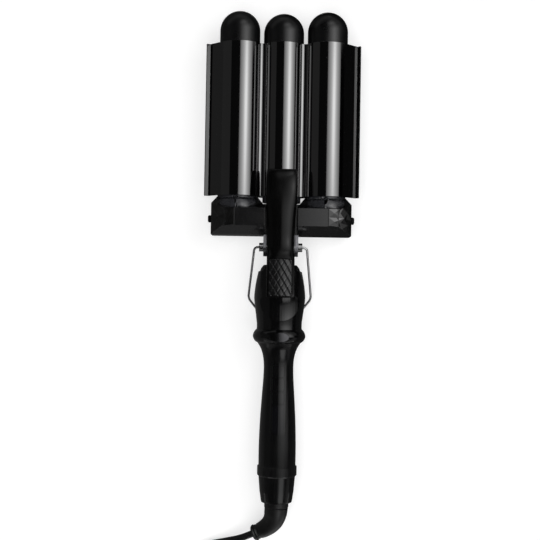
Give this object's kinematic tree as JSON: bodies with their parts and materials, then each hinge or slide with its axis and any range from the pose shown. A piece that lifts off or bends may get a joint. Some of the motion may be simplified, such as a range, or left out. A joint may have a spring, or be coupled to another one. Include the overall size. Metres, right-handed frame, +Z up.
{
  "type": "hair waver",
  "caption": "Electric hair waver: clamping barrels and wave plates on a crossbar, spring lever with a quilted thumb pad, wire stand, waisted grip with buttons, swivel cord and plug.",
  "frame": {"origin": "On the surface that the waver lies on, under the middle of its box, the cord and plug left out.", "axes": "+Y runs along the handle from the cord end to the barrel tips, +Z is up, away from the surface and to the lever side, +X is to the right of someone who looks along +Y with +Z up."},
  "size_m": [0.1992, 0.5384, 0.0596],
  "materials": {
    "soft_touch": "fine matte, soft-touch",
    "shell_gloss": "polished black",
    "trim_gloss": "polished black",
    "pad_rubber": "matte",
    "ceramic_coat": "glossy ceramic coating",
    "tip_plastic": "heat-proof, fine matte",
    "socket_plastic": "heat-proof, satin",
    "heater_metal": "extruded",
    "cast_frame": "die cast",
    "steel_sheet": "dark",
    "bright_steel": "bright",
    "screw_steel": "zinc plated",
    "black_screw": "black",
    "board": "circuit board with its parts",
    "contact_carrier": "plain",
    "cord_black": "matte",
    "moulded_black": "moulded"
  },
  "bodies": {
    "handle": {"collar_inlay": "trim_gloss", "collar_ring": "shell_gloss", "control_board": "board", "control_strip": "trim_gloss", "crossbar_end_screws": "black_screw", "crossbar_front_shell": "shell_gloss", "crossbar_rear_shell": "shell_gloss", "crossbar_screws": "screw_steel", "display_lens": "trim_gloss", "end_cap": "shell_gloss", "end_ring": "shell_gloss", "grip_front_shell": "soft_touch", "grip_rear_shell": "soft_touch", "head_front_shell": "shell_gloss", "head_rear_shell": "shell_gloss", "hinge_bracket": "steel_sheet", "hinge_pin": "bright_steel", "left_barrel": "ceramic_coat", "left_end_plate": "shell_gloss", "left_heater": "heater_metal", "left_socket": "socket_plastic", "left_tip": "tip_plastic", "lever_spring": "bright_steel", "neck_frame": "cast_frame", "rear_wave_plate": "ceramic_coat", "right_barrel": "ceramic_coat", "right_end_plate": "shell_gloss", "right_heater": "heater_metal", "right_socket": "socket_plastic", "right_tip": "tip_plastic", "shell_screws": "screw_steel", "swivel_contact_block": "contact_carrier"},
    "clamp": {"lever": "shell_gloss", "thumb_pad": "pad_rubber", "centre_barrel": "ceramic_coat", "centre_tip": "tip_plastic", "centre_socket": "socket_plastic", "centre_heater": "heater_metal", "left_wave_plate": "ceramic_coat", "right_wave_plate": "ceramic_coat"},
    "stand": {"wire_stand": "bright_steel"},
    "power_key": {"power_button": "trim_gloss"},
    "plus_key": {"plus_button": "trim_gloss"},
    "minus_key": {"minus_button": "trim_gloss"},
    "cord_swivel": {"swivel_neck": "moulded_black", "strain_relief": "cord_black", "cord": "cord_black", "cord_tail": "cord_black", "cord_coil": "cord_black", "plug_body": "moulded_black", "plug_pins": "bright_steel"}
  },
  "joints": [
    {"name": "clamp_lever", "type": "hinge", "parent": "handle", "child": "clamp", "pos_m": [0, 0.00847, 0.03076], "axis": [1, 0, 0], "range_deg": [0, 17.5], "stiffness_Nm_per_rad": 0.9, "springref_deg": -25.78, "deforming": ["lever_spring"]},
    {"name": "stand_fold", "type": "hinge", "parent": "handle", "child": "stand", "pos_m": [0, 0.00847, 0.03076], "axis": [1, 0, 0], "range_deg": [0, 70]},
    {"name": "cord_turn", "type": "hinge", "parent": "handle", "child": "cord_swivel", "pos_m": [0, -0.19293, 0.02076], "axis": [0, 1, 0], "continuous": true},
    {"name": "power_press", "type": "slide", "parent": "handle", "child": "power_key", "axis": [0, 0, -1], "range_m": [0, 0.0008], "stiffness_N_per_m": 900, "springref_m": -0.001},
    {"name": "plus_press", "type": "slide", "parent": "handle", "child": "plus_key", "axis": [0, 0, -1], "range_m": [0, 0.0008], "stiffness_N_per_m": 900, "springref_m": -0.001},
    {"name": "minus_press", "type": "slide", "parent": "handle", "child": "minus_key", "axis": [0, 0, -1], "range_m": [0, 0.0008], "stiffness_N_per_m": 900, "springref_m": -0.001}
  ]
}
